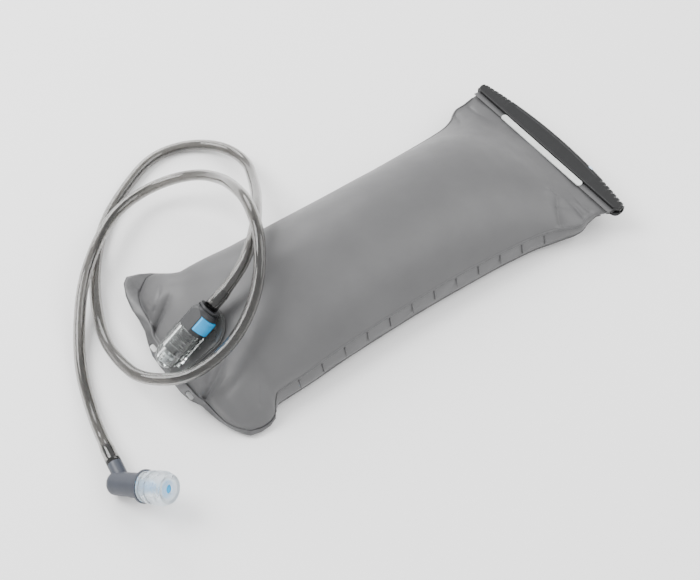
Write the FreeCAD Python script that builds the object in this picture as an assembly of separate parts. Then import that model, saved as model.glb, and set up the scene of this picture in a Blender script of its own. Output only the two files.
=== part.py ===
"""Hydration bladder lying on its back: film reservoir, slide closure, drain port,
quick-release plug, drinking hose and bite valve.  Millimetres.

+X runs from the port end to the closure, +Y across the bag, +Z up from the floor.
The origin is on the flat underside of the bag, under its crown.
"""
import FreeCAD, Part
import math
import os

V = FreeCAD.Vector
X_AXIS = V(1, 0, 0)
Y_AXIS = V(0, 1, 0)
Z_AXIS = V(0, 0, 1)

# ---- reservoir -------------------------------------------------------------
FILM = 0.6                # film thickness
FLANGE = 1.2              # two films welded together
PLANE = 0.02              # air between two flush faces
# x, seam half width, seam height, crown height, lower seam half width, lower seam height,
# half width of the flat underside, height of the underside
STATIONS = [
    (-198.0, 76.0, 11.5, 12.7, 76.0, 11.1, 66.0, 10.2),
    (-194.0, 74.0, 12.5, 17.5, 74.0, 11.2, 60.0, 10.4),
    (-172.0, 80.0, 17.0, 33.5, 78.5, 8.0, 60.0, 0.0),
    (-150.0, 72.0, 22.0, 49.5, 71.0, 6.0, 56.0, 0.0),
    (-120.0, 70.0, 24.0, 61.5, 68.5, 5.0, 53.0, 0.0),
    (-75.0, 67.5, 26.0, 66.5, 66.0, 5.0, 52.0, 0.0),
    (-5.0, 66.0, 27.0, 67.0, 64.5, 5.0, 52.0, 0.0),
    (60.0, 67.5, 26.0, 64.5, 66.0, 5.0, 52.0, 0.0),
    (110.0, 70.5, 24.0, 57.5, 69.0, 6.0, 55.0, 0.0),
    (140.0, 75.0, 22.5, 45.5, 74.0, 8.0, 58.0, 3.0),
    (159.0, 80.0, 22.5, 33.5, 79.5, 16.5, 66.0, 12.0),
    (174.0, 87.0, 24.0, 26.2, 87.0, 22.8, 76.0, 21.6),
]
SEAM_BULGE = 3.0          # how far a gusset stands out between its two seams

BOTTOM_WELD_X = (-206.0, -198.2)
BOTTOM_WELD_Z = 9.7
BOTTOM_WELD_HALF = 84.0
HANG_SLOT = (3.6, 9.0)    # width and length of the two hanging slots
HANG_SLOT_Y = 27.0

# ---- closure ---------------------------------------------------------------
CLOSURE_Z = 24.0
FILM_HALF = 88.0          # half width of the film in the closure
BEAD_X = 186.4
BEAD_R = 1.6              # stiffener rod inside the fold
FOLD_GAP = 0.1
STRIP_X = (173.6, 179.4)
STRIP_Y = (-52.0, 51.0)
STRIP_T = 1.1
STRIP_Z = 26.9            # underside, just clear of the film
STRIP_ROUND = 2.6
SLIDER_HALF = 92.0
SLIDER_X = (180.2, 191.0) # mouth, and back at the two ends
SLIDER_BACK_X = 199.8     # back in the middle of the arch
SLIDER_H = 10.0
SLIDER_WALL = 1.9
SLIDER_CAVITY_X = 189.7   # inner face behind the fold
SLIDER_MOUTH = 3.8
SLIDER_CAVITY_ROUND = 1.5
SLIDER_CORNER = 6.0
SLIDER_EDGE = 2.4
JAW_REACH = 3.2           # the lower jaw reaches further over the film than the upper lip
GRIP_TEETH = 6
GRIP_PITCH = 5.0
GRIP_START = 60.0
GROOVE_R = 1.7
GROOVE_DEPTH = 0.8
GROOVE_RAMP = 8.0         # length of a groove's run over the top

# ---- port and plug, along the axis that the hose leaves on --------------------
AIR = 0.05                # gap between two parts that only touch
AXIS_H = 12.8             # height of the flow axis over the plate's underside
PLATE_L = 66.0
PLATE_W = 39.0
PLATE_LOW_R = 15.0        # round at the plate's lower end
PLATE_T = 1.3
RIM_INSET = 1.0
RIM_W = 2.2
RIM_H = 2.6
BODY_R = 11.2
BODY_FROM = 20.0
BODY_TO = 42.0
BORE_R = 7.6
CHAMBER_R = 5.6
CHAMBER_FROM = 8.5
SEAT_U = 20.0
NOSE_FROM = 5.0
SADDLE_FROM = 12.0        # foot that carries the body on the plate
SADDLE_W = 15.0
INLET_R = 3.4
INLET_U = 15.0
RIBS = 5
RIB_FROM = 25.0
RIB_PITCH = 3.4
RIB_W = 1.5
RIB_H = 0.7
POPPET_R = 4.9
POPPET_U = (15.2, 16.8)
POPPET_TAIL_R = 1.6       # guide inside the spring
POPPET_TAIL_U = 11.0
POPPET_PIN_R = 1.2
POPPET_SPRING = (3.3, 0.45, 5.2, 2)
POPPET_SPRING_U = 9.2
SEAL_R = (7.3, 3.9)
SEAL_W = 0.9
STEM_R = 7.3
STEM_TIP = 21.2
STEM_BORE_R = 3.0
PUSH_BAR = 1.4            # bar across the stem's mouth that opens the poppet
RING_GROOVES = (26.0, 33.0)
GROOVE_W = 2.2
GROOVE_FLOOR = 6.0
O_RING = (6.76, 0.75)
CORE_STEM_R = 6.4         # part of the stem inside the housing
HOUSING_R = 11.2
HOUSING_FLAT = 9.8        # half height between its two flats
HOUSING_FROM = 42.3
HOUSING_TO = 61.0
HOUSING_TAPER = 3.5
RING_R = 9.2
RING_END = 65.2
NECK_RINGS = [(61.0, 62.6, RING_R), (62.6, 63.8, 7.8), (63.8, 65.1, 8.6)]
LATCH_U = (48.1, 49.3)
LATCH_R = (8.7, 8.1)
LATCH_SLOT_U = (47.6, 49.8)
LATCH_SLOT_R = 10.4
LATCH_SLOT_HALF = 9.2     # the slot stays below the housing's flats
BARB_LEN = 17.0
BARB_CRESTS = 4
BARB_FIRST = 1.6
BARB_PITCH = 3.9
BARB_CREST = 3.2
HOSE_R = 4.75
HOSE_BORE_R = 3.2
BARB_R = 3.6              # crest, a press fit in the hose
BARB_ROOT_R = 3.1
CHANNEL_R = 2.0           # water channel through the barbs
BUTTON_U = (46.0, 58.0)
BUTTON_W = (-5.0, 9.2)    # lower and upper edge, from the flow axis
BUTTON_PROUD = 0.9
BUTTON_T = 2.2
BUTTON_STALK = (1.8, 2.2, 3.0)
BUTTON_STALK_U = 47.8
BUTTON_SPRING = (1.5, 0.15, 1.4, 2)
BUTTON_SPRING_U = 54.5
SPRING_WELL_R = 2.2
SPRING_WELL_V = -5.9
SPRING_FOOT = -6.65
POCKET_FLOOR = 7.6        # radius of the floor of the button's pocket
CLEAR = 0.25

# ---- hose route: start on the plug, end on the bite valve's elbow ------------
HOSE_ROUTE = [
    V(-160, 2, 58.9), V(-132, 2, 78.5), V(-104.5, 22, 87.5), V(-83, 53, 74),
    V(-64, 84, 52), V(-47, 117, 30), V(-32, 151, 14), V(-37, 185, 8),
    V(-61, 208, 4.75), V(-95, 213, 4.75), V(-131, 195, 4.75), V(-165, 172, 4.75),
    V(-191, 141, 4.75), V(-212, 105.5, 8), V(-228.5, 63.5, 8.5), V(-233.5, 20.5, 25.5),
    V(-230, -8.5, 35), V(-206, -33.5, 44), V(-175, -37.5, 54.5), V(-148.5, -31, 67),
    V(-124, -14, 82), V(-106, 11, 99), V(-94, 46, 98), V(-86, 82, 78),
    V(-79, 115, 53), V(-83, 145, 35), V(-103, 165, 23), V(-132, 171, 17),
    V(-162, 160, 20), V(-191, 137, 23), V(-219, 110, 18), V(-241, 79, 8),
    V(-258, 46, 4.75), V(-268, 12, 6.5), V(-275.2, -17, 11.5), V(-279.2, -46.5, 12.2),
]

# ---- bite valve ------------------------------------------------------------
VALVE_HEADING = -59.0     # degrees about +Z from +X
VALVE_TILT = 27.0         # degrees up from the floor
ELBOW_R = 8.9
ELBOW_BACK = 13.0
ELBOW_FRONT = 8.0
ELBOW_ROUND = 5.0
ELBOW_BORE_R = 3.0
NECK_R = 5.7
NECK_LEN = 19.5
COLLAR_LEN = 13.0
COLLAR_R = 9.2
COLLAR_GAP = 0.3
COLLAR_BORE_R = 4.6
FLANGE_R = 12.4
FLANGE_T = 1.8
FLANGE_FLARE = 2.2
SPIGOT_R = 6.0
SPIGOT_LEN = 9.5
ELBOW_GROOVE = (4.0, 1.6, 1.0)
ELBOW_RING = (5.52, 0.5)
SHEATH_LEN = 23.0
SHEATH_R = 12.6
SHEATH_BORE_R = 5.2
CORE_R = 6.2              # flat head of the core
CORE_HEAD = 2.4
CORE_STEM = 4.5
CORE_BORE_R = 2.4
CORE_ROOT = 2.0           # how far the core is set into the collar


def save(name, shape):
    """Write one node; each solid in it stays a solid of its own."""
    shape.exportStep("parts/" + name + ".step")
    box = shape.BoundBox
    print("%-22s solids %d volume %9.1f  x %.1f..%.1f y %.1f..%.1f z %.1f..%.1f valid %s" % (
        name, len(shape.Solids), shape.Volume, box.XMin, box.XMax,
        box.YMin, box.YMax, box.ZMin, box.ZMax, shape.isValid()))
    return shape


# ---- reservoir film --------------------------------------------------------
def arc(a, b, c):
    return Part.Arc(a, b, c).toShape()


def line(a, b):
    return Part.LineSegment(a, b).toShape()


def front_section(station):
    """Band of film over the crown, from seam to seam."""
    x, w, seam_z, crown = station[:4]
    rise = crown - seam_z
    radius = (w * w + rise * rise) / (2 * rise)
    edge = min(FILM * radius / w, 4.0)
    return Part.Wire([
        arc(V(x, -w, seam_z), V(x, 0, crown), V(x, w, seam_z)),
        line(V(x, w, seam_z), V(x, w - edge, seam_z)),
        arc(V(x, w - edge, seam_z), V(x, 0, crown - FILM), V(x, -w + edge, seam_z)),
        line(V(x, -w + edge, seam_z), V(x, -w, seam_z)),
    ])


def turned_up(x, side, flat, z, w, side_z):
    """Arc that leaves the floor level at the flat's edge and ends at the lower seam."""
    rise, run = side_z - z, w - flat
    turn = 2 * math.atan2(rise, run)
    radius = (run * run + rise * rise) / (2 * rise)
    middle = V(x, side * (flat + radius * math.sin(turn / 2)), z + radius * (1 - math.cos(turn / 2)))
    return V(x, side * flat, z), middle, V(x, side * w, side_z)


def back_section(station):
    """Band of film under the bag: flat on the floor and turned up at both sides."""
    x = station[0]
    w, side_z, flat, z = station[4:]
    slope = 2 * math.atan2(side_z - z, w - flat)
    edge = min(FILM / math.sin(slope), 4.0)
    edges = []
    for side in (-1, 1):
        foot, middle, top = turned_up(x, side, flat, z, w, side_z)
        in_foot, in_middle, in_top = turned_up(x, side, flat - 1.0, z + FILM, w - edge, side_z)
        outer, inner = arc(foot, middle, top), arc(in_foot, in_middle, in_top)
        edges.append((foot, outer, top, in_top, inner, in_foot))
    (foot_a, outer_a, top_a, in_top_a, inner_a, in_foot_a) = edges[0]
    (foot_b, outer_b, top_b, in_top_b, inner_b, in_foot_b) = edges[1]
    return Part.Wire([outer_a, line(foot_a, foot_b), outer_b, line(top_b, in_top_b), inner_b,
                      line(in_foot_b, in_foot_a), inner_a, line(in_top_a, top_a)])


def gusset_section(station, side):
    """Band of film between the upper and the lower seam of one side."""
    x, w, seam_z = station[:3]
    low_w, low_z = station[4:6]
    share = min(1.0, (seam_z - low_z) / 18.0)
    out = max(w, low_w) + SEAM_BULGE * share
    mid_z = (seam_z + low_z) / 2
    return Part.Wire([
        arc(V(x, side * w, seam_z), V(x, side * out, mid_z), V(x, side * low_w, low_z)),
        line(V(x, side * low_w, low_z), V(x, side * (low_w - FILM), low_z)),
        arc(V(x, side * (low_w - FILM), low_z), V(x, side * (out - FILM), mid_z),
            V(x, side * (w - FILM), seam_z)),
        line(V(x, side * (w - FILM), seam_z), V(x, side * w, seam_z)),
    ])


def loft(wires):
    return Part.makeLoft(wires, True, True)


def film_panels():
    front = loft([front_section(s) for s in STATIONS])
    inlet = placed(Part.makeCylinder(INLET_R, 12, V(INLET_U, 0, -9), Z_AXIS), PORT_PLACE)
    save("front_panel", front.cut(inlet))
    save("back_panel", loft([back_section(s) for s in STATIONS]))
    save("right_gusset", loft([gusset_section(s, -1) for s in STATIONS]))
    save("left_gusset", loft([gusset_section(s, 1) for s in STATIONS]))


def bottom_weld():
    x0, x1 = BOTTOM_WELD_X
    half = BOTTOM_WELD_HALF
    points = [(x0, -40), (x0, 40), (x0 + 3, 66), (x0 + 7, half), (x1, half),
              (x1, -half), (x0 + 7, -half), (x0 + 3, -66)]
    wire = Part.makePolygon([V(x, y, BOTTOM_WELD_Z) for x, y in points + points[:1]])
    flange = Part.Face(wire).extrude(V(0, 0, FLANGE))
    slot_w, slot_l = HANG_SLOT
    for side in (-1, 1):
        low = V((x0 + x1) / 2, side * HANG_SLOT_Y - (slot_l - slot_w) / 2, BOTTOM_WELD_Z - 1)
        high = low + V(0, slot_l - slot_w, 0)
        slot = Part.makeBox(slot_w, slot_l - slot_w, FLANGE + 2, low - V(slot_w / 2, 0, 0))
        for end in (low, high):
            slot = slot.fuse(Part.makeCylinder(slot_w / 2, FLANGE + 2, end, Z_AXIS))
        flange = flange.cut(slot)
    save("bottom_weld", flange)


# ---- closure ---------------------------------------------------------------
def folded_top():
    """Film wrapped round the stiffener rod, with its short flap turned back over the neck."""
    bead = V(BEAD_X, -FILM_HALF, CLOSURE_Z)
    outer = BEAD_R + FOLD_GAP + FLANGE
    length = 2 * FILM_HALF
    wrap = Part.makeCylinder(outer, length, bead, Y_AXIS)
    neck_x = STATIONS[-1][0] + 0.2
    neck = Part.makeBox(BEAD_X - neck_x, length, FLANGE, V(neck_x, -FILM_HALF, CLOSURE_Z - 1.6))
    flap_x = STRIP_X[0] - 1.0
    flap = Part.makeBox(BEAD_X - flap_x, length, FILM, V(flap_x, -FILM_HALF, CLOSURE_Z + 0.9))
    reach = STATIONS[-1][0] + 0.2 - flap_x
    lift = Part.makeBox(reach, length, 3.0, V(flap_x, -FILM_HALF, CLOSURE_Z))
    flap = flap.cut(lift)
    core = Part.makeCylinder(BEAD_R + FOLD_GAP, length + 2, bead - Y_AXIS, Y_AXIS)
    save("folded_top", wrap.fuse(neck).fuse(flap).cut(core).removeSplitter())


def stiffeners():
    rod = Part.makeCylinder(BEAD_R, 2 * FILM_HALF, V(BEAD_X, -FILM_HALF, CLOSURE_Z), Y_AXIS)
    save("fold_stiffener", rod)
    y0, y1 = STRIP_Y
    strip = Part.makeBox(STRIP_X[1] - STRIP_X[0], y1 - y0, STRIP_T, V(STRIP_X[0], y0, STRIP_Z))
    upright = [e for e in strip.Edges if abs(e.tangentAt(0).z) > 0.9]
    save("front_stiffener", strip.makeFillet(STRIP_ROUND, upright))


def slider_back(y):
    """X of the arched back at a place along the closure."""
    rise = SLIDER_BACK_X - SLIDER_X[1]
    radius = (SLIDER_HALF ** 2 + rise ** 2) / (2 * rise)
    return SLIDER_BACK_X - radius + math.sqrt(radius ** 2 - y ** 2)


def slider_outline():
    """Plan of the channel: straight mouth and arched back."""
    front, back = SLIDER_X
    half = SLIDER_HALF
    return Part.Face(Part.Wire([
        line(V(front, -half, 0), V(front, half, 0)),
        line(V(front, half, 0), V(back, half, 0)),
        arc(V(back, half, 0), V(SLIDER_BACK_X, 0, 0), V(back, -half, 0)),
        line(V(back, -half, 0), V(front, -half, 0)),
    ]))


def grip_grooves(z0):
    """Upright grooves in the back at both ends, each running on over the top as a ramp."""
    cuts = []
    for side in (-1, 1):
        for tooth in range(GRIP_TEETH):
            y = side * (GRIP_START + tooth * GRIP_PITCH)
            back = slider_back(y)
            middle = back + GROOVE_R - GROOVE_DEPTH
            cuts.append(Part.makeCylinder(GROOVE_R, SLIDER_H + 2, V(middle, y, z0 - 1), Z_AXIS))
            top = z0 + SLIDER_H + GROOVE_R - GROOVE_DEPTH
            start = V(back - GROOVE_RAMP + 2, y, top)
            cuts.append(Part.makeCylinder(GROOVE_R, GROOVE_RAMP, start, X_AXIS))
    return cuts


def slide_closure():
    """C-channel that clamps the fold, closed at its +Y end and open at its -Y end."""
    z0 = CLOSURE_Z - SLIDER_H / 2
    outline = slider_outline()
    outline.translate(V(0, 0, z0))
    body = outline.extrude(V(0, 0, SLIDER_H))
    upright = [e for e in body.Edges if e.BoundBox.ZLength > 1 and e.BoundBox.XMax < SLIDER_X[0] + 1]
    body = body.makeFillet(SLIDER_CORNER, upright)
    back_edges = [e for e in body.Edges if e.BoundBox.XMax > SLIDER_X[1] + 1 and e.BoundBox.ZLength < 0.01]
    body = body.makeFillet(SLIDER_EDGE, back_edges)
    jaw_half = SLIDER_HALF - SLIDER_CORNER
    jaw = Part.makeBox(JAW_REACH + 1, 2 * jaw_half, SLIDER_WALL, V(SLIDER_X[0] - JAW_REACH, -jaw_half, z0))
    body = body.fuse(jaw)
    cavity_h = SLIDER_H - 2 * SLIDER_WALL
    cavity_x = SLIDER_X[0] + SLIDER_WALL
    cavity_l = 2 * SLIDER_HALF - SLIDER_WALL + 1
    cavity = Part.makeBox(SLIDER_CAVITY_X - cavity_x, cavity_l, cavity_h,
                          V(cavity_x, -SLIDER_HALF - 1, CLOSURE_Z - cavity_h / 2))
    long_edges = [e for e in cavity.Edges if abs(e.tangentAt(0).y) > 0.9]
    cavity = cavity.makeFillet(SLIDER_CAVITY_ROUND, long_edges)
    mouth = Part.makeBox(SLIDER_WALL + JAW_REACH + 2, cavity_l, SLIDER_MOUTH,
                         V(SLIDER_X[0] - JAW_REACH - 1, -SLIDER_HALF - 1, CLOSURE_Z - SLIDER_MOUTH / 2))
    body = body.cut(cavity).cut(mouth)
    for groove in grip_grooves(z0):
        body = body.cut(groove)
    save("slide_closure", body.removeSplitter())


# ---- port, in its own frame: u along the flow axis, v along +Y, w off the plate ----
FLOW = HOSE_ROUTE[1] - HOSE_ROUTE[0]
PORT_TILT = math.degrees(math.atan2(FLOW.z, FLOW.x))
TILT = FreeCAD.Rotation(Y_AXIS, -PORT_TILT)
PORT_PLACE = FreeCAD.Placement(HOSE_ROUTE[0] - TILT.multVec(V(RING_END, 0, AXIS_H)), TILT)


def placed(shape, place):
    shape = shape.copy()
    shape.transformShape(place.toMatrix())
    return shape


def rod_u(radius, u0, u1, v=0.0, w=AXIS_H):
    return Part.makeCylinder(radius, u1 - u0, V(u0, v, w), X_AXIS)


def tube_u(radius, bore, u0, u1):
    return rod_u(radius, u0, u1).cut(rod_u(bore, u0 - 1, u1 + 1))


def plate_face(inset, w):
    """Long oval: a large round at the upper end and a smaller one at the lower end."""
    big = PLATE_W / 2 - inset
    small = PLATE_LOW_R - inset
    u_big = PLATE_L - PLATE_W / 2
    u_small = PLATE_LOW_R
    lean = math.asin((big - small) / (u_big - u_small))
    c, s = math.cos(lean), math.sin(lean)
    a = V(u_small - small * s, small * c, w)
    b = V(u_big - big * s, big * c, w)
    a2 = V(a.x, -a.y, w)
    b2 = V(b.x, -b.y, w)
    return Part.Face(Part.Wire([
        line(a, b), arc(b, V(u_big + big, 0, w), b2),
        line(b2, a2), arc(a2, V(u_small - small, 0, w), a)]))


def port_plate():
    plate = plate_face(0, 0).extrude(V(0, 0, PLATE_T))
    outer = plate_face(RIM_INSET, 0).extrude(V(0, 0, RIM_H))
    inner = plate_face(RIM_INSET + RIM_W, -1).extrude(V(0, 0, RIM_H + 2))
    hole = Part.makeCylinder(INLET_R, RIM_H + 4, V(INLET_U, 0, -2), Z_AXIS)
    plate = plate.fuse(outer.cut(inner)).cut(hole)
    save("port_plate", placed(plate.removeSplitter(), PORT_PLACE))


def port_body():
    """Clear barrel with a domed nose, ribs and a foot, bored for the plug and the poppet."""
    shell = rod_u(BODY_R, BODY_FROM - 2, BODY_TO)
    nose = Part.makeSphere(BODY_R, V(0, 0, 0))
    stretch = FreeCAD.Matrix()
    stretch.scale(V((BODY_FROM - NOSE_FROM) / BODY_R, 1, 1))
    nose = nose.transformGeometry(stretch)
    nose.translate(V(BODY_FROM, 0, AXIS_H))
    saddle = Part.makeBox(BODY_TO - SADDLE_FROM, SADDLE_W, AXIS_H - 1, V(SADDLE_FROM, -SADDLE_W / 2, 1))
    body = shell.fuse(nose).fuse(saddle)
    for k in range(RIBS):
        u = RIB_FROM + k * RIB_PITCH
        body = body.fuse(tube_u(BODY_R + RIB_H, BODY_R - 1.0, u, u + RIB_W))
    bore = rod_u(BORE_R, SEAT_U, BODY_TO + 1)
    chamber = rod_u(CHAMBER_R, CHAMBER_FROM, SEAT_U + 1)
    inlet = Part.makeCylinder(INLET_R, AXIS_H, V(INLET_U, 0, 0), Z_AXIS)
    below = Part.makeBox(80, 60, 20, V(-10, -30, -20 + PLATE_T + PLANE))
    body = body.cut(bore).cut(chamber).cut(inlet).cut(below)
    save("port_body", placed(body.removeSplitter(), PORT_PLACE))


def coil_spring(radius, wire, height, turns):
    """Helical wire standing on the origin along +Z."""
    coil = Part.makeHelix(height / turns, height, radius)
    ring = Part.Wire(Part.makeCircle(wire, V(radius, 0, 0), Y_AXIS))
    return Part.Wire(coil).makePipeShell([ring], True, True)


def port_valve():
    """Poppet pushed open by the plug's tip, with its spring and its seat seal."""
    low, high = POPPET_U
    poppet = rod_u(POPPET_R, low, high)
    poppet = poppet.fuse(rod_u(POPPET_TAIL_R, POPPET_TAIL_U, low))
    poppet = poppet.fuse(rod_u(POPPET_PIN_R, high, STEM_TIP - AIR))
    save("port_poppet", placed(poppet, PORT_PLACE))
    spring = coil_spring(*POPPET_SPRING)
    spring.rotate(V(0, 0, 0), Y_AXIS, 90)
    spring.translate(V(POPPET_SPRING_U, 0, AXIS_H))
    save("poppet_spring", placed(spring, PORT_PLACE))
    seal = tube_u(SEAL_R[0], SEAL_R[1], SEAT_U + AIR, SEAT_U + AIR + SEAL_W)
    save("seat_seal", placed(seal, PORT_PLACE))


def barbed(base, way, length):
    """Hose barb: a root with cone crests, each widest on the side of the base."""
    barb = Part.makeCylinder(BARB_ROOT_R, length, base, way)
    for k in range(BARB_CRESTS):
        at = base + way * (BARB_FIRST + k * BARB_PITCH)
        barb = barb.fuse(Part.makeCone(BARB_R, BARB_ROOT_R, BARB_CREST, at, way))
    return barb


def plug_stem():
    """Stem through the port's bore, core of the housing, and the hose barb."""
    stem = rod_u(STEM_R, STEM_TIP, HOUSING_FROM)
    for u in RING_GROOVES:
        stem = stem.cut(tube_u(STEM_R + 1, GROOVE_FLOOR, u, u + GROOVE_W))
    core = rod_u(CORE_STEM_R, HOUSING_FROM - 0.5, RING_END - 0.4)
    barb = barbed(V(RING_END, 0, AXIS_H), X_AXIS, BARB_LEN)
    root = rod_u(BARB_ROOT_R, RING_END - 0.5, RING_END + 0.5)
    solid = stem.fuse(core).fuse(root).fuse(barb)
    wide = rod_u(STEM_BORE_R, STEM_TIP - 1, RING_END - 3)
    narrow = rod_u(CHANNEL_R, RING_END - 4, RING_END + BARB_LEN + 1)
    bar_l = 2 * STEM_BORE_R + 2
    bar = Part.makeBox(PUSH_BAR, bar_l, PUSH_BAR, V(STEM_TIP, -bar_l / 2, AXIS_H - PUSH_BAR / 2))
    channel = wide.fuse(narrow).cut(bar)
    save("plug_stem", placed(solid.cut(channel).removeSplitter(), PORT_PLACE))


def plug_seals():
    radius, wire = O_RING
    rings = []
    for u in RING_GROOVES:
        ring = Part.makeTorus(radius, wire, V(u + GROOVE_W / 2, 0, AXIS_H), X_AXIS)
        rings.append(placed(ring, PORT_PLACE))
    save("plug_o_rings", Part.makeCompound(rings))


def slab_w(u0, u1, half_v, w0, w1):
    """Block between two heights over the flow axis."""
    return Part.makeBox(u1 - u0, 2 * half_v, w1 - w0, V(u0, -half_v, AXIS_H + w0))


def button_band(radius, bore, gap):
    """Part of a tube on the -v side, between the button's two flat edges, with a gap all round."""
    u0, u1 = BUTTON_U[0] - gap, BUTTON_U[1] + gap
    slab = slab_w(u0, u1, radius + 1, BUTTON_W[0] - gap, BUTTON_W[1] + gap)
    slab = slab.cut(Part.makeBox(u1 - u0, radius + 1, 4 * radius, V(u0, 0, AXIS_H - 2 * radius)))
    return tube_u(radius, bore, u0, u1).common(slab)


def button_stalk():
    """Tongue under the button that carries the latch plate."""
    length, depth, width = BUTTON_STALK
    return Part.makeBox(length, depth, width, V(BUTTON_STALK_U, -(HOUSING_R - 0.6), AXIS_H - width / 2))


def plug_housing():
    """Barrel with two flats, a ringed neck, the button's pocket and the latch plate's slot."""
    taper_u = HOUSING_TO - HOUSING_TAPER
    shell = rod_u(HOUSING_R, HOUSING_FROM, taper_u)
    shell = shell.fuse(Part.makeCone(HOUSING_R, RING_R, HOUSING_TAPER, V(taper_u, 0, AXIS_H), X_AXIS))
    shell = shell.common(slab_w(HOUSING_FROM - 1, HOUSING_TO + 1, HOUSING_R + 1, -HOUSING_FLAT, HOUSING_FLAT))
    for u0, u1, radius in NECK_RINGS:
        shell = shell.fuse(rod_u(radius, u0, u1))
    shell = shell.cut(rod_u(CORE_STEM_R + AIR, HOUSING_FROM - 2, RING_END + 5))
    slot_u0, slot_u1 = LATCH_SLOT_U
    slot = tube_u(LATCH_SLOT_R, CORE_STEM_R, slot_u0, slot_u1)
    slot = slot.common(slab_w(slot_u0, slot_u1, LATCH_SLOT_R + 1, -LATCH_SLOT_HALF, LATCH_SLOT_HALF))
    pocket = button_band(HOUSING_R + 4, POCKET_FLOOR, CLEAR)
    well = Part.makeCylinder(SPRING_WELL_R, 3.5, V(BUTTON_SPRING_U, SPRING_WELL_V, AXIS_H), V(0, -1, 0))
    shell = shell.cut(slot).cut(pocket).cut(well)
    save("plug_housing", placed(shell.removeSplitter(), PORT_PLACE))


def release_button():
    outer = HOUSING_R + BUTTON_PROUD
    pad = button_band(outer, outer - BUTTON_T, 0.0)
    stalk = button_stalk()
    save("release_button", placed(pad.fuse(stalk).removeSplitter(), PORT_PLACE))
    plate = tube_u(LATCH_R[0], LATCH_R[1], LATCH_U[0], LATCH_U[1]).cut(stalk)
    save("latch_plate", placed(plate.removeSplitter(), PORT_PLACE))
    spring = coil_spring(*BUTTON_SPRING)
    spring.rotate(V(0, 0, 0), X_AXIS, 90)
    spring.translate(V(BUTTON_SPRING_U, SPRING_FOOT, AXIS_H))
    save("button_spring", placed(spring, PORT_PLACE))


# ---- hose ------------------------------------------------------------------
def hose_path(route):
    """Straight runs joined by tangent arcs; each arc is 0.45 of its shorter run."""
    edges = []
    last = route[0]
    length = 0.0
    for k in range(1, len(route) - 1):
        into = (route[k] - route[k - 1])
        out = (route[k + 1] - route[k])
        shorter = min(into.Length, out.Length)
        turn = into.getAngle(out)
        radius = 0.45 * shorter / math.tan(turn / 2)
        into.normalize()
        out.normalize()
        start = route[k] - into * (0.45 * shorter)
        end = route[k] + out * (0.45 * shorter)
        inward = out - into
        inward.normalize()
        centre = route[k] + inward * (radius / math.cos(turn / 2))
        middle = centre - inward * radius
        edges.append(line(last, start))
        edges.append(arc(start, middle, end))
        length += (start - last).Length + radius * turn
        print("hose point %2d turn %5.1f radius %6.1f" % (k, math.degrees(turn), radius))
        last = end
    edges.append(line(last, route[-1]))
    length += (route[-1] - last).Length
    return Part.Wire(edges), length


def drinking_hose():
    path, length = hose_path(HOSE_ROUTE)
    heading = HOSE_ROUTE[1] - HOSE_ROUTE[0]
    outer = Part.Wire(Part.makeCircle(HOSE_R, HOSE_ROUTE[0], heading))
    inner = Part.Wire(Part.makeCircle(HOSE_BORE_R, HOSE_ROUTE[0], heading))
    tube = path.makePipeShell([outer], True, True)
    hollow = tube.cut(path.makePipeShell([inner], True, True))
    ideal = math.pi * (HOSE_R ** 2 - HOSE_BORE_R ** 2) * length
    print("hose length %.1f volume %.1f section x length %.1f" % (length, hollow.Volume, ideal))
    save("drinking_hose", hollow)


# ---- bite valve, in its own frame: +X along the valve, origin where the axes cross ----
def valve_placement():
    """The elbow's neck meets the end of the hose, and the barrel points along the valve axis."""
    down = HOSE_ROUTE[-1] - HOSE_ROUTE[-2]
    down.normalize()
    heading, tilt = math.radians(VALVE_HEADING), math.radians(VALVE_TILT)
    axis = V(math.cos(tilt) * math.cos(heading), math.cos(tilt) * math.sin(heading), math.sin(tilt))
    centre = HOSE_ROUTE[-1] + down * NECK_LEN
    side = axis.cross(down)
    side.normalize()
    turn = FreeCAD.Rotation(axis, side, axis.cross(side), "XYZ")
    return FreeCAD.Placement(centre, turn), down, axis


def valve_elbow(place, local_up):
    """Rounded barrel with a neck and barb for the hose, and a grooved spigot for the collar."""
    origin = V(0, 0, 0)
    back = -ELBOW_BACK
    barrel = Part.makeCylinder(ELBOW_R, ELBOW_BACK + ELBOW_FRONT, V(back, 0, 0), X_AXIS)
    rear = [e for e in barrel.Edges if abs(e.BoundBox.XMax - back) < 0.01 and e.BoundBox.YLength > 1]
    barrel = barrel.makeFillet(ELBOW_ROUND, rear)
    neck_end = NECK_LEN - AIR
    neck = Part.makeCylinder(NECK_R, neck_end, origin, local_up)
    spigot = Part.makeCylinder(SPIGOT_R, SPIGOT_LEN + 0.5, V(ELBOW_FRONT - 0.5, 0, 0), X_AXIS)
    reach, width, depth = ELBOW_GROOVE
    groove_x = ELBOW_FRONT + reach
    groove = Part.makeCylinder(SPIGOT_R + 1, width, V(groove_x, 0, 0), X_AXIS)
    groove = groove.cut(Part.makeCylinder(SPIGOT_R - depth, width, V(groove_x, 0, 0), X_AXIS))
    elbow = barrel.fuse(neck).fuse(spigot).cut(groove)
    elbow = elbow.fuse(barbed(local_up * neck_end, local_up, BARB_LEN))
    long = NECK_LEN + BARB_LEN + 10
    elbow = elbow.cut(Part.makeCylinder(CHANNEL_R, long, origin, local_up))
    elbow = elbow.cut(Part.makeCylinder(ELBOW_BORE_R, long, V(-ELBOW_BACK / 2, 0, 0), X_AXIS))
    save("valve_elbow", placed(elbow.removeSplitter(), place))
    ring = Part.makeTorus(ELBOW_RING[0], ELBOW_RING[1], V(groove_x + width / 2, 0, 0), X_AXIS)
    save("elbow_o_ring", placed(ring, place))


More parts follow.
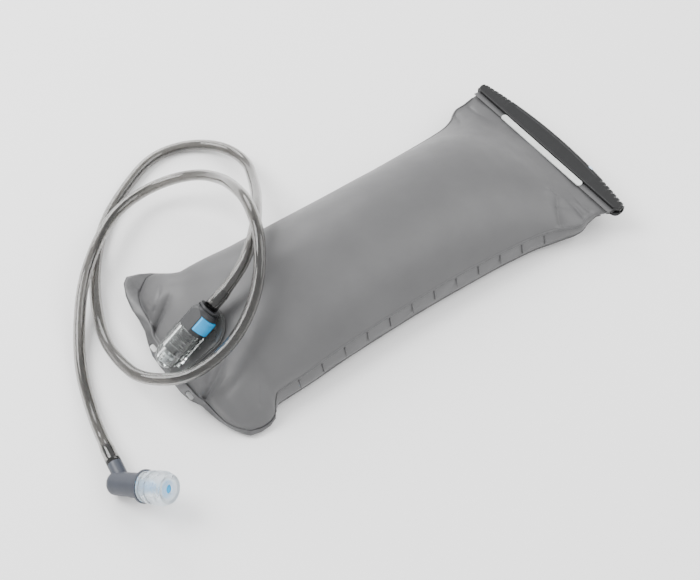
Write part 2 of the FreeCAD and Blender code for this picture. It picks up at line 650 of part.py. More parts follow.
def valve_collar(place):
    """Collar that turns on the spigot, with the wide flange that the sheath sits on."""
    face = ELBOW_FRONT + COLLAR_GAP
    end = face + COLLAR_LEN
    flare = end - FLANGE_T - FLANGE_FLARE
    collar = Part.makeCylinder(COLLAR_R, flare - face, V(face, 0, 0), X_AXIS)
    collar = collar.fuse(Part.makeCone(COLLAR_R, FLANGE_R, FLANGE_FLARE, V(flare, 0, 0), X_AXIS))
    collar = collar.fuse(Part.makeCylinder(FLANGE_R, FLANGE_T, V(end - FLANGE_T, 0, 0), X_AXIS))
    socket = Part.makeCylinder(SPIGOT_R + 0.06, SPIGOT_LEN + 1.1, V(face - 1, 0, 0), X_AXIS)
    bore = Part.makeCylinder(COLLAR_BORE_R, COLLAR_LEN + 1, V(face, 0, 0), X_AXIS)
    save("valve_collar", placed(collar.cut(socket).cut(bore).removeSplitter(), place))
    return end


def valve_core(place, end):
    head = end + SHEATH_LEN - 5.0
    root = end - CORE_ROOT
    core = Part.makeCylinder(CORE_STEM, head - root, V(root, 0, 0), X_AXIS)
    core = core.fuse(Part.makeCylinder(CORE_R, CORE_HEAD, V(head, 0, 0), X_AXIS))
    core = core.cut(Part.makeCylinder(CORE_BORE_R, SHEATH_LEN, V(root - 1, 0, 0), X_AXIS))
    save("valve_core", placed(core.removeSplitter(), place))


def bite_sheath(place, end):
    """Soft mouthpiece turned about the valve's axis: two rings, a waist and a domed front."""
    u = end + AIR
    front = u + SHEATH_LEN
    outline = [(u, SHEATH_BORE_R), (u, SHEATH_R - 1.2), (u + 2, SHEATH_R - 0.9),
               (u + 2.6, SHEATH_R - 1.9), (u + 5, SHEATH_R - 1.9), (u + 5.6, SHEATH_R - 0.4),
               (u + 8.5, SHEATH_R - 0.4), (u + 9.1, SHEATH_R - 1.2), (u + 11, SHEATH_R - 1.2),
               (u + 12, SHEATH_R), (u + 18, SHEATH_R), (u + 23, SHEATH_R - 1.8),
               (front - 0.6, SHEATH_R - 4.2), (front, SHEATH_R - 5.6), (front, 3.4),
               (front - 1.8, 3.4), (front - 2.0, 6.6), (front - 6.0, 6.6), (front - 6.2, SHEATH_BORE_R)]
    wire = Part.makePolygon([V(a, b, 0) for a, b in outline + outline[:1]])
    sheath = Part.Face(wire).revolve(V(0, 0, 0), X_AXIS, 360)
    save("bite_sheath", placed(sheath, place))


def bite_valve():
    place, down, axis = valve_placement()
    local_up = place.Rotation.inverted().multVec(down * -1)
    valve_elbow(place, local_up)
    end = valve_collar(place)
    valve_core(place, end)
    bite_sheath(place, end)
    print("bite valve origin", place.Base, "axis", axis, "bend", math.degrees(down.getAngle(axis)))


def main():
    os.makedirs("parts", exist_ok=True)
    film_panels()
    bottom_weld()
    folded_top()
    stiffeners()
    slide_closure()
    port_plate()
    port_body()
    port_valve()
    plug_stem()
    plug_seals()
    plug_housing()
    release_button()
    drinking_hose()
    bite_valve()


main()
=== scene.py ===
"""Looks of the hydration bladder: inflated film bag, slide closure, drain port, hose and bite valve.

Lengths are written in millimetres and scaled by MM where a mesh is made.
+X runs from the port end to the closure, +Y is the far side, +Z is up.
"""

import math

import bmesh
import bpy
import numpy as np
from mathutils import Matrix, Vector, noise


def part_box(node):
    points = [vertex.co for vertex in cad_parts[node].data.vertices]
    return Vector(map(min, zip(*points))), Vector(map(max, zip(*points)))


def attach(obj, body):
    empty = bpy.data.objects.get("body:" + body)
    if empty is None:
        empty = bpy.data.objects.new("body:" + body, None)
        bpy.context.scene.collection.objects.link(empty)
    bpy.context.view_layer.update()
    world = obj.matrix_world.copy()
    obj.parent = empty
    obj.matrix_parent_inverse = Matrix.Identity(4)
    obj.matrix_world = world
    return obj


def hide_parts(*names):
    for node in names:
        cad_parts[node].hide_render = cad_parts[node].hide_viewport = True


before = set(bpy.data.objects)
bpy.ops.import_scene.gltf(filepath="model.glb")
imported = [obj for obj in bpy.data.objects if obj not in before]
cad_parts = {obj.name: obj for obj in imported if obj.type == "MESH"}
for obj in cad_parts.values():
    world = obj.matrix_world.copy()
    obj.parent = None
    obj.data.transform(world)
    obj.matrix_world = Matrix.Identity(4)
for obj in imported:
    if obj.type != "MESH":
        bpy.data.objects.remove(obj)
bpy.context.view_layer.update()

MM = 0.001


# ---- camera and hose come first ----------------------------------------------
CAMERA_PLACE = (-426.8, -543.6, 854.2)
CAMERA_TARGET = (-37.2, -10.2, 0.0)
CAMERA_LENS = 67.1
CAMERA_SENSOR = 36.0


def add_camera():
    data = bpy.data.cameras.new("camera")
    data.lens = CAMERA_LENS
    data.sensor_width = CAMERA_SENSOR
    camera = bpy.data.objects.new("camera", data)
    place = Vector(CAMERA_PLACE) * MM
    target = Vector(CAMERA_TARGET) * MM
    camera.location = place
    camera.rotation_euler = (target - place).to_track_quat("-Z", "Y").to_euler()
    bpy.context.scene.collection.objects.link(camera)
    bpy.context.scene.camera = camera


# Control points of the hose, from the plug to the bite valve's elbow.
HOSE_ROUTE = [
    (-160, 2, 58.9), (-132, 2, 78.5), (-104.5, 22, 87.5), (-83, 53, 74), (-64, 84, 52),
    (-47, 117, 30), (-32, 151, 14), (-37, 185, 8), (-61, 208, 4.75), (-95, 213, 4.75),
    (-131, 195, 4.75), (-165, 172, 4.75), (-191, 141, 4.75), (-212, 105.5, 8), (-228.5, 63.5, 8.5),
    (-233.5, 20.5, 25.5), (-230, -8.5, 35), (-206, -33.5, 44), (-175, -37.5, 54.5), (-148.5, -31, 67),
    (-124, -14, 82), (-106, 11, 99), (-94, 46, 98), (-86, 82, 78), (-79, 115, 53),
    (-83, 145, 35), (-103, 165, 23), (-132, 171, 17), (-162, 160, 20), (-191, 137, 23),
    (-219, 110, 18), (-241, 79, 8), (-258, 46, 4.75), (-268, 12, 6.5), (-275.2, -17, 11.5),
    (-279.2, -46.5, 12.2),
]
HOSE_R = 4.75
HOSE_BORE_R = 3.2
HOSE_SIDES = 28
BARB_LEN = 17.0
BARB_SWELL = 0.85         # how much wider the hose is over a barb
BARB_FADE = (-1.5, 3.5)   # where the swelling ends, from the barb's tip
BORE_SWELL = 0.75         # the bore's share of the swelling


def hose_line():
    """Points along the NURBS spline that the route controls, in metres."""
    data = bpy.data.curves.new("hose_line", "CURVE")
    data.dimensions = "3D"
    data.resolution_u = 12
    spline = data.splines.new("NURBS")
    spline.points.add(len(HOSE_ROUTE) - 1)
    for point, place in zip(spline.points, HOSE_ROUTE):
        point.co = (place[0] * MM, place[1] * MM, place[2] * MM, 1.0)
    spline.order_u = 3
    spline.use_endpoint_u = True
    obj = bpy.data.objects.new("hose_line", data)
    bpy.context.scene.collection.objects.link(obj)
    bpy.context.view_layer.update()
    mesh = bpy.data.meshes.new_from_object(obj.evaluated_get(bpy.context.evaluated_depsgraph_get()))
    line = [v.co.copy() for v in mesh.vertices]
    bpy.data.objects.remove(obj)
    bpy.data.meshes.remove(mesh)
    return line


# ---- mesh helpers ------------------------------------------------------------
def make_object(name, vertices, faces, smooth=True):
    """Mesh object from millimetre vertices."""
    mesh = bpy.data.meshes.new(name)
    mesh.from_pydata([tuple(float(c) * MM for c in v) for v in vertices], [], faces)
    mesh.validate()
    mesh.update()
    obj = bpy.data.objects.new(name, mesh)
    bpy.context.scene.collection.objects.link(obj)
    if smooth:
        mesh.shade_smooth()
    return obj


def grid_faces(rows, cols, wrap_cols=False, wrap_rows=False, first=0):
    faces = []
    for i in range(rows if wrap_rows else rows - 1):
        for j in range(cols if wrap_cols else cols - 1):
            a = first + i * cols + j
            b = first + i * cols + (j + 1) % cols
            c = first + ((i + 1) % rows) * cols + (j + 1) % cols
            d = first + ((i + 1) % rows) * cols + j
            faces.append((a, b, c, d))
    return faces


def grid_object(name, points, wrap_cols=False):
    rows, cols = points.shape[:2]
    return make_object(name, points.reshape(-1, 3), grid_faces(rows, cols, wrap_cols))


def recalculate(obj):
    bm = bmesh.new()
    bm.from_mesh(obj.data)
    bmesh.ops.recalc_face_normals(bm, faces=bm.faces)
    bm.to_mesh(obj.data)
    bm.free()


def apply_modifiers(obj):
    depsgraph = bpy.context.evaluated_depsgraph_get()
    mesh = bpy.data.meshes.new_from_object(obj.evaluated_get(depsgraph))
    obj.modifiers.clear()
    obj.data = mesh


def solidify(obj, thickness, offset=-1.0):
    mod = obj.modifiers.new("thickness", "SOLIDIFY")
    mod.thickness = thickness * MM
    mod.offset = offset
    apply_modifiers(obj)


def smooth_function(xs, ys):
    """Smooth curve through the points that never overshoots them, as a function of numpy arrays."""
    xs, ys = np.array(xs, float), np.array(ys, float)
    steps = np.diff(ys) / np.diff(xs)
    slopes = np.concatenate([steps[:1], np.zeros(len(xs) - 2), steps[-1:]])
    for k, (a, b) in enumerate(zip(steps, steps[1:]), start=1):
        if a * b > 0:
            slopes[k] = 2 * a * b / (a + b)

    def value(x):
        x = np.clip(np.asarray(x, float), xs[0], xs[-1])
        i = np.clip(np.searchsorted(xs, x, side="right") - 1, 0, len(xs) - 2)
        step = xs[i + 1] - xs[i]
        t = (x - xs[i]) / step
        return ((2 * t**3 - 3 * t**2 + 1) * ys[i] + (t**3 - 2 * t**2 + t) * step * slopes[i]
                + (3 * t**2 - 2 * t**3) * ys[i + 1] + (t**3 - t**2) * step * slopes[i + 1])
    return value


def table(rows, column):
    return smooth_function([r[0] for r in rows], [r[column] for r in rows])


def smoothstep(low, high, x):
    t = np.clip((x - low) / (high - low), 0.0, 1.0)
    return t * t * (3 - 2 * t)


def distance_to_path(x, y, path):
    """Plan distance to a polyline, and how far along it the nearest point is, 0 to 1."""
    best = np.full(np.shape(x), 1e9)
    along = np.zeros(np.shape(x))
    steps = len(path) - 1
    for k in range(steps):
        ax, ay = path[k]
        bx, by = path[k + 1]
        length2 = (bx - ax) ** 2 + (by - ay) ** 2
        t = np.clip(((x - ax) * (bx - ax) + (y - ay) * (by - ay)) / length2, 0, 1)
        d = np.hypot(x - ax - t * (bx - ax), y - ay - t * (by - ay))
        along = np.where(d < best, (k + t) / steps, along)
        best = np.minimum(best, d)
    return best, along


def wobble(x, y, scale, seed):
    """Gentle seeded noise over a grid of plan points, about -1 to 1."""
    flat = [noise.noise(Vector((a / scale, b / scale, seed))) for a, b in zip(np.ravel(x), np.ravel(y))]
    return np.array(flat).reshape(np.shape(x))


# ---- materials ---------------------------------------------------------------
class Nodes:
    """A Principled material and short ways to wire procedural detail into it."""

    def __init__(self, name, color, rough, **values):
        self.mat = bpy.data.materials.new(name)
        self.mat.use_nodes = True
        self.tree = self.mat.node_tree
        self.shader = self.tree.nodes["Principled BSDF"]
        self.shader.inputs["Base Color"].default_value = (*color, 1.0)
        self.shader.inputs["Roughness"].default_value = rough
        for key, value in values.items():
            self.shader.inputs[key.replace("_", " ")].default_value = value
        self.coords = self.add("ShaderNodeTexCoord").outputs["Object"]
        self.color = color
        self.height = None

    def add(self, kind, **props):
        node = self.tree.nodes.new(kind)
        for key, value in props.items():
            setattr(node, key, value)
        return node

    def link(self, a, b):
        self.tree.links.new(a, b)

    def stretched(self, scale):
        mapping = self.add("ShaderNodeMapping")
        mapping.inputs["Scale"].default_value = scale
        self.link(self.coords, mapping.inputs["Vector"])
        return mapping.outputs["Vector"]

    def noise(self, scale, detail=4.0, rough=0.55, stretch=None):
        node = self.add("ShaderNodeTexNoise")
        node.inputs["Scale"].default_value = scale
        node.inputs["Detail"].default_value = detail
        node.inputs["Roughness"].default_value = rough
        self.link(self.stretched(stretch) if stretch else self.coords, node.inputs["Vector"])
        return node.outputs["Fac"]

    def ramp(self, fac, stops):
        node = self.add("ShaderNodeValToRGB")
        elements = node.color_ramp.elements
        while len(elements) < len(stops):
            elements.new(0.5)
        for element, (at, value) in zip(elements, stops):
            element.position = at
            element.color = (*value, 1.0) if hasattr(value, "__len__") else (value, value, value, 1.0)
        self.link(fac, node.inputs["Fac"])
        return node.outputs["Color"]

    def vary_color(self, fac, low, high, spread=(0.3, 0.7)):
        """Base colour between two multiples of the material's own colour."""
        stops = [(spread[0], tuple(c * low for c in self.color)),
                 (spread[1], tuple(min(1.0, c * high) for c in self.color))]
        self.link(self.ramp(fac, stops), self.shader.inputs["Base Color"])

    def vary_rough(self, fac, low, high, spread=(0.3, 0.7)):
        self.link(self.ramp(fac, [(spread[0], low), (spread[1], high)]), self.shader.inputs["Roughness"])

    def bump(self, fac, distance, strength=1.0):
        node = self.add("ShaderNodeBump")
        node.inputs["Distance"].default_value = distance * MM
        node.inputs["Strength"].default_value = strength
        self.link(fac, node.inputs["Height"])
        if self.height:
            self.link(self.height, node.inputs["Normal"])
        self.height = node.outputs["Normal"]
        self.link(self.height, self.shader.inputs["Normal"])


def film_material():
    m = Nodes("film", (0.084, 0.084, 0.086), 0.46,
              Specular_IOR_Level=0.42, Coat_Weight=0.12, Coat_Roughness=0.35)
    m.vary_color(m.noise(28, 5), 0.93, 1.08)
    m.vary_rough(m.noise(60, 4), 0.42, 0.52)
    m.bump(m.noise(2600, 2), 0.05, 0.35)
    m.bump(m.noise(70, 3), 0.5, 0.16)
    return m.mat


def weld_material():
    m = Nodes("weld", (0.075, 0.075, 0.077), 0.4, Specular_IOR_Level=0.5)
    m.vary_color(m.noise(180, 3), 0.85, 1.15)
    m.bump(m.noise(900, 2), 0.12, 0.5)
    return m.mat


def moulded_material(name, color, rough, grain=1500, depth=0.05, **values):
    m = Nodes(name, color, rough, **values)
    m.vary_color(m.noise(120, 4), 0.9, 1.12)
    m.vary_rough(m.noise(300, 3), rough * 0.85, min(1.0, rough * 1.15))
    m.bump(m.noise(grain, 3), depth, 0.6)
    return m.mat


def clear_material(name, color, rough, ior=1.49, through=1.0, **values):
    m = Nodes(name, color, rough, IOR=ior, Transmission_Weight=through, **values)
    m.vary_rough(m.noise(90, 3), rough * 0.6, rough * 1.5 + 0.01)
    m.bump(m.noise(160, 2), 0.04, 0.25)
    return m.mat


def metal_material(name, color, rough):
    m = Nodes(name, color, rough, Metallic=1.0)
    m.vary_rough(m.noise(800, 3, stretch=(1, 8, 1)), rough * 0.7, rough * 1.4)
    m.bump(m.noise(1500, 2), 0.02, 0.3)
    return m.mat


def assign(obj, material):
    obj.data.materials.clear()
    obj.data.materials.append(material)


# ---- bag surfaces ------------------------------------------------------------
FILM = 0.5
FLANGE = 1.1              # two films welded together
# Row, seam half width and seam height on the near side, the same on the far side, crown height.
FRONT = [
    (-199.0, 77.0, 5.5, 79.0, 16.0, 11.4),
    (-196.5, 78.0, 5.2, 80.0, 15.5, 16.0),
    (-190.0, 79.5, 5.0, 83.0, 16.5, 21.4),
    (-180.0, 81.0, 5.2, 86.0, 18.5, 28.4),
    (-172.0, 81.2, 6.0, 85.0, 19.5, 34.0),
    (-160.0, 79.0, 8.5, 78.5, 19.8, 42.3),
    (-154.0, 73.8, 15.0, 74.2, 20.8, 46.5),
    (-149.0, 70.5, 21.5, 71.5, 21.8, 49.8),
    (-140.0, 70.5, 22.8, 71.0, 22.8, 54.5),
    (-120.0, 70.0, 24.0, 70.0, 24.0, 61.5),
    (-97.0, 68.6, 25.2, 68.6, 25.2, 65.2),
    (-75.0, 67.5, 26.0, 67.5, 26.0, 66.5),
    (-40.0, 66.5, 26.8, 66.5, 26.8, 67.0),
    (-5.0, 66.0, 27.0, 66.0, 27.0, 67.0),
    (30.0, 66.4, 26.8, 66.4, 26.8, 66.3),
    (60.0, 67.5, 26.0, 67.5, 26.0, 64.5),
    (90.0, 69.2, 24.6, 69.2, 24.6, 60.6),
    (110.0, 70.8, 23.4, 70.8, 23.6, 56.6),
    (125.0, 73.4, 22.4, 72.6, 23.0, 51.6),
    (138.0, 78.0, 21.6, 77.0, 22.6, 45.8),
    (146.0, 81.4, 21.4, 82.5, 22.6, 41.5),
    (152.0, 82.4, 21.6, 85.2, 22.8, 38.2),
    (160.0, 80.6, 22.2, 85.6, 23.0, 33.6),
    (167.0, 80.6, 22.8, 86.6, 23.4, 29.6),
    (174.0, 84.6, 23.3, 87.8, 23.6, 26.4),
    (182.0, 88.2, 23.5, 88.4, 23.6, 24.4),
]
# Row, lower seam half width and height on the near side, the same on the far side,
# half width of the flat underside, height of the underside.
BACK = [
    (-199.0, 77.0, 5.5, 79.0, 16.0, 44.0, 10.2),
    (-196.5, 78.0, 5.2, 80.0, 15.5, 46.0, 7.6),
    (-190.0, 79.5, 5.0, 83.0, 16.5, 50.0, 4.4),
    (-180.0, 81.0, 5.2, 86.0, 18.5, 54.0, 1.4),
    (-172.0, 81.2, 6.0, 85.0, 19.5, 56.0, 0.4),
    (-160.0, 79.0, 5.6, 78.5, 15.0, 56.0, 0.3),
    (-154.0, 73.8, 5.3, 74.2, 9.0, 55.0, 0.3),
    (-149.0, 70.0, 5.2, 71.0, 5.5, 54.0, 0.3),
    (-120.0, 69.0, 5.2, 69.6, 5.2, 53.0, 0.3),
    (-75.0, 66.2, 5.2, 66.8, 5.2, 52.0, 0.3),
    (-5.0, 64.7, 5.2, 65.4, 5.2, 52.0, 0.3),
    (60.0, 66.2, 5.2, 66.8, 5.2, 52.0, 0.3),
    (110.0, 70.2, 5.6, 70.2, 5.8, 55.0, 0.3),
    (125.0, 74.2, 6.8, 72.4, 7.6, 57.0, 0.8),
    (138.0, 78.6, 9.2, 77.0, 10.4, 59.0, 2.6),
    (146.0, 81.8, 11.4, 82.5, 13.0, 62.0, 5.2),
    (152.0, 82.8, 13.4, 85.2, 15.0, 64.0, 8.0),
    (160.0, 81.0, 16.4, 85.6, 17.8, 66.0, 12.4),
    (167.0, 81.0, 19.2, 86.6, 20.4, 70.0, 16.8),
    (174.0, 84.8, 21.8, 87.8, 22.2, 74.0, 20.6),
    (182.0, 88.2, 22.8, 88.4, 22.8, 80.0, 22.4),
]
ROUND_SHARE = 0.55        # of the turned-up sides; the rest is a parabola
# How the bottom edge of the film swings forward towards the two ears.
EDGE_HALF = 74.0
NEAR_SWING = smooth_function([0, 30, 38, 50, 60, 68, 74], [0, 1.5, 3.6, 4.6, 6.6, 11.0, 17.5])
FAR_SWING = smooth_function([0, 30, 38, 50, 60, 68, 74], [0, 1.5, 5.0, 7.5, 9.0, 11.5, 15.0])
SWING_FADE = smooth_function([-199, -190, -180, -165, -152, 182], [1.0, 0.8, 0.55, 0.22, 0, 0])
# Share of a fuller, squarer section in place of the round one.
PUFF = smooth_function([-199, -185, -170, -150, -130, -100, 182], [1.0, 1.0, 0.95, 0.75, 0.4, 0, 0])
PUFF_EDGE, PUFF_ROUND = 3.2, 0.62
LOBE_RISE = smooth_function([-199, -195, -188, -178, -168, -152, 182], [0, 4.5, 6.5, 5.0, 2.5, 0, 0])
EAR_Y = 58.0              # middle of the two raised lobes
EAR_W = 15.0
# The port's plate, tilted up from its foot, and the two rounds of its outline seen from above.
PLATE_SLOPE = math.tan(math.radians(35.0))
PLATE_FOOT = (-206.08, 2.0, 11.02)
PLATE_LOW = (-193.8, 15.0)
PLATE_HIGH = (-168.0, 19.5)
PLATE_STRETCH = 1.2
PLATE_SINK = 1.2          # how far the film stays under the plate
PLATE_PULL = 7.0          # reach of the film tented up to the plate
PLATE_END = -140.0
FOLD_SHARPNESS = 1.9
# Scale, seed, height on slack film and how much of it goes where the film is taut.
UNEVEN = [(34.0, 3.1, 1.1, 0.75), (13.0, 8.7, 0.5, 0.42)]
CREASES = [
    # path in plan, depth at its start and end, half width of the valley
    ([(-202, -37), (-191, -35.5), (-180, -33.5), (-168, -28)], 13.0, 0.8, 6.0),
    ([(-202, 38), (-191, 41.5), (-181, 43.5), (-170, 49)], 11.5, 0.8, 5.5),
    ([(-187, -30), (-176, -24.5)], 2.5, 0.2, 3.5),
    ([(-186, 50), (-178, 55), (-172, 62)], 2.2, 0.3, 3.5),
    ([(-152, -52), (-160, -62), (-166, -71)], 0.4, 1.6, 5.0),
    ([(147, 88), (143, 70), (133, 58)], 3.0, 0.2, 6.0),
    ([(131, -84), (138, -66), (148, -52), (153, -40)], 3.2, 0.3, 5.0),
    ([(158, -86), (157, -68), (152, -54)], 3.4, 0.4, 4.5),
    ([(167, -86), (164, -66), (163, -52)], 2.6, 0.3, 4.5),
    ([(164, 90), (161, 70), (163, 56)], 2.2, 0.3, 5.0),
    ([(141, -60), (149, -64)], 1.4, 0.8, 3.4),
]
RIDGES = [
    ([(-196, -45), (-186, -43), (-176, -41)], 3.0, 1.0, 7.0),
    ([(-194, 52), (-184, 52), (-176, 54)], 2.5, 0.8, 7.0),
    ([(143, -46), (152, -58), (160, -64)], 2.6, 0.8, 4.5),
]


def plate_distance(x, y):
    """Plan distance outside the port's base plate, which is a long tapering oval."""
    (low_x, low_r), (high_x, high_r) = PLATE_LOW, PLATE_HIGH
    t = np.clip((x - low_x) / (high_x - low_x), 0, 1)
    middle = low_x + t * (high_x - low_x)
    radius = low_r + t * (high_r - low_r)
    return np.hypot((x - middle) * PLATE_STRETCH, y - PLATE_FOOT[1]) - radius


def fold_offset(x, y, folds):
    total = np.zeros(np.shape(x))
    for path, start, end, width in folds:
        d, along = distance_to_path(x, y, path)
        depth = start + (end - start) * along
        total += depth * np.exp(-d / width * FOLD_SHARPNESS) * (d < 4 * width)
    return total


def front_height(x0, x, y, z):
    """Adds the port's tented film, the lobes, the creases and a slight unevenness."""
    z = z + LOBE_RISE(x0) * np.exp(-(((np.abs(y) - EAR_Y) / EAR_W) ** 2))
    z = z - fold_offset(x, y, CREASES) + fold_offset(x, y, RIDGES)
    plane = PLATE_FOOT[2] - PLATE_SINK + (x - PLATE_FOOT[0]) * PLATE_SLOPE
    pull = np.exp(-((np.maximum(plate_distance(x, y), 0) / PLATE_PULL) ** 2)) * (x < PLATE_END)
    z = z + pull * (plane - z) * smoothstep(-200, -194, x0)
    taut = smoothstep(-199, -150, x0) * (1 - smoothstep(120, 150, x0))
    for scale, seed, slack, loss in UNEVEN:
        z = z + wobble(x, y, scale, seed) * (slack - loss * taut)
    return z


def edge_swing(x0, y, w, near):
    """How far a row's outer parts swing forward, on the near and on the far side."""
    share = np.abs(y) / w * EDGE_HALF
    return SWING_FADE(x0) * np.where(near, NEAR_SWING(share), FAR_SWING(share))


def front_points(rows, cols):
    """Grid over the front panel: rows run across the bag, columns along it."""
    x0, t = np.meshgrid(rows, cols, indexing="ij")
    near = t < 0
    w = np.where(near, table(FRONT, 1)(x0), table(FRONT, 3)(x0))
    seam = np.where(near, table(FRONT, 2)(x0), table(FRONT, 4)(x0))
    rise = np.maximum(table(FRONT, 5)(x0) - seam, 0.3)
    edge = np.abs(t)
    turn = 2 * np.arctan(rise / w)
    radius = w / np.sin(turn)
    y_arc = radius * np.sin(turn * edge)
    z_arc = radius * (np.cos(turn * edge) - np.cos(turn))
    z_puff = rise * (1 - edge ** PUFF_EDGE) ** PUFF_ROUND
    puff = PUFF(x0)
    y = np.sign(t) * (y_arc * (1 - puff) + w * edge * puff)
    fade = smoothstep(1.0, 0.93, edge)
    x = x0 + edge_swing(x0, y, w, near)
    base = seam + z_arc * (1 - puff) + z_puff * puff
    raised = front_height(x0, x, y, base)
    z = base + (raised - base) * fade * smoothstep(-199.0, -196.0, x0)
    return np.stack([x, y, z], axis=-1)


def back_points(rows, cols):
    """Grid over the back panel: flat on the floor and turned up at both sides."""
    x0, t = np.meshgrid(rows, cols, indexing="ij")
    near = t < 0
    w = np.where(near, table(BACK, 1)(x0), table(BACK, 3)(x0))
    seam = np.where(near, table(BACK, 2)(x0), table(BACK, 4)(x0))
    flat = table(BACK, 5)(x0)
    low = table(BACK, 6)(x0)
    edge = np.abs(t)
    y = w * edge
    up = np.clip((y - flat) / (w - flat), 0, 1)
    z = low + (seam - low) * (1 - ROUND_SHARE * np.sqrt(np.maximum(1 - up**2, 0))
                              - (1 - ROUND_SHARE) * (1 - up**2))
    y = np.sign(t) * y
    x = x0 + edge_swing(x0, y, w, near)
    return np.stack([x, y, z], axis=-1)


# Rows lie closest where the film is creased, and columns lie closest at the seams.
FILM_ROWS = np.concatenate([
    np.linspace(-199, -190, 14)[:-1], np.linspace(-190, -146, 56)[:-1],
    np.linspace(-146, 120, 84)[:-1], np.linspace(120, 182, 60)])
COLS = 141
BACK_COLS = 81
EDGE_SPREAD = np.sin(np.linspace(-math.pi / 2, math.pi / 2, COLS))
FILM_COLS = 0.6 * EDGE_SPREAD + 0.4 * np.linspace(-1, 1, COLS)
BACK_SAG = (26.0, 5.5, 0.25)   # scale, seed and height of the underside's unevenness
LEAST_Z = 0.05                 # nothing of the bag goes lower


def front_panel(material):
    obj = grid_object("front_film", front_points(FILM_ROWS, FILM_COLS))
    recalculate_up(obj)
    solidify(obj, FILM)
    assign(obj, material)
    return obj


def recalculate_up(obj, sign=1.0):
    """Turns an open sheet's faces so that most look up, or down with sign -1."""
    total = sum(p.normal.z * p.area for p in obj.data.polygons)
    if total * sign < 0:
        obj.data.flip_normals()


def back_panel(material):
    points = back_points(FILM_ROWS, np.linspace(-1, 1, BACK_COLS))
    scale, seed, height = BACK_SAG
    sag = wobble(points[..., 0], points[..., 1], scale, seed) * height
    points[..., 2] = np.maximum(points[..., 2] + sag, LEAST_Z)
    obj = grid_object("back_film", points)
    recalculate_up(obj, -1.0)
    solidify(obj, FILM)
    assign(obj, material)
    return obj


SIDE_BULGE = {-1: 3.0, 1: 0.8}
BULGE_RIPPLE = 0.4
GUSSET_FROM = -156.5
GUSSET_STEPS = 15
FULL_HEIGHT = 18.0        # a gusset at least this high bulges fully


def gusset(name, side, material):
    """Side band between the two seams, slightly wavy, from the ear to the closure."""
    rows = FILM_ROWS[FILM_ROWS >= GUSSET_FROM]
    front = front_points(rows, np.array([side * 1.0]))[:, 0]
    back = back_points(rows, np.array([side * 1.0]))[:, 0]
    steps = np.linspace(0, 1, GUSSET_STEPS)
    points = np.zeros((len(rows), len(steps), 3))
    for j, s in enumerate(steps):
        points[:, j] = front * (1 - s) + back * s
    height = np.clip((front[:, 2] - back[:, 2]) / FULL_HEIGHT, 0, 1)[:, None]
    belly = np.sin(math.pi * steps)[None, :]
    ripple = wobble(points[..., 0], points[..., 2] * 2.0, 22.0, 4.0 + side)
    points[..., 1] += side * belly * height * SIDE_BULGE[side] * (1 + BULGE_RIPPLE * ripple)
    obj = grid_object(name, points)
    total = sum(p.normal.y * p.area for p in obj.data.polygons)
    if total * side < 0:
        obj.data.flip_normals()
    solidify(obj, FILM)
    assign(obj, material)
    return obj


SEAM_X = (-150.5, 172)
SEAM_W = 2.2
SEAM_T = 0.45
SEAM_TILT = 0.9           # how far a weld line faces up as well as out
# Section of a weld line, in shares of its width and thickness.
SEAM_PROFILE = [(-0.5, 0.0), (-0.42, 0.8), (-0.2, 1.0), (0.2, 1.0), (0.42, 0.8), (0.5, 0.0), (0.0, -0.4)]


def rod_faces(rows, cols, first=0):
    """Faces of a closed rod through rings of points, with flat ends."""
    faces = grid_faces(rows, cols, wrap_cols=True, first=first)
    faces.append(tuple(first + j for j in range(cols))[::-1])
    faces.append(tuple(first + (rows - 1) * cols + j for j in range(cols)))
    return faces


def seam_band(name, points, material):
    """Raised weld line that follows a path of points; its raised side faces outwards."""
    path = [Vector(p) for p in points]
    vertices = []
    for k, p in enumerate(path):
        ahead = path[min(k + 1, len(path) - 1)] - path[max(k - 1, 0)]
        ahead.normalize()
        out = Vector((0, math.copysign(1.0, p.y), SEAM_TILT)).normalized()
        across = ahead.cross(out).normalized()
        out = across.cross(ahead).normalized()
        vertices += [tuple(p + across * a * SEAM_W + out * b * SEAM_T) for a, b in SEAM_PROFILE]
    obj = make_object(name, vertices, rod_faces(len(path), len(SEAM_PROFILE)))
    recalculate(obj)
    assign(obj, material)
    return obj


RIM_OUTLINE = [
    # x, y, z of the weld flange's outer edge, from the near side round to the far side
    (-149.5, -71.0, 21.0), (-154.5, -75.2, 13.5), (-159.0, -80.6, 6.5), (-165.0, -82.6, 4.2),
    (-174.0, -82.6, 3.4), (-182.0, -80.6, 3.0), (-187.0, -73.5, 4.0), (-191.5, -66.0, 5.0),
    (-195.0, -57.0, 6.5), (-197.5, -48.0, 8.0), (-199.5, -40.0, 9.4), (-204.0, -31.0, 10.2),
    (-206.0, -20.0, 10.4), (-206.5, 0.0, 10.4), (-206.0, 22.0, 10.4), (-203.0, 33.0, 10.6),
    (-198.5, 46.0, 11.0), (-197.0, 58.0, 11.6), (-197.0, 68.0, 13.0), (-194.5, 82.0, 16.0),
    (-190.5, 92.0, 18.0), (-185.5, 96.0, 19.2), (-176.0, 92.5, 20.0), (-168.0, 87.6, 20.4),
    (-158.0, 79.8, 20.0), (-149.5, 72.2, 21.6),
]
RIM_TO = -150.0
RIM_POINTS = 260
RIM_STEPS = 7
RIM_WAVE = (16.0, 2.2, 1.1)   # scale, seed and height of its waves at the free edge
RIM_LEAST_Z = 1.0
HANG_SLOT = (3.6, 9.0)        # width and length
HANG_SLOT_PLACES = [(-202.1, -27.0), (-202.1, 27.0)]
SLOT_SIDES = 24
SLOT_CUT = (0.0, 30.0)        # heights between which the cutter stands


def along_path(path, count):
    """Evenly spaced points along a polyline."""
    path = np.array(path, float)
    steps = np.concatenate([[0], np.cumsum(np.linalg.norm(np.diff(path, axis=0), axis=1))])
    s = np.linspace(0, steps[-1], count)
    return np.stack([np.interp(s, steps, path[:, k]) for k in range(path.shape[1])], axis=1)


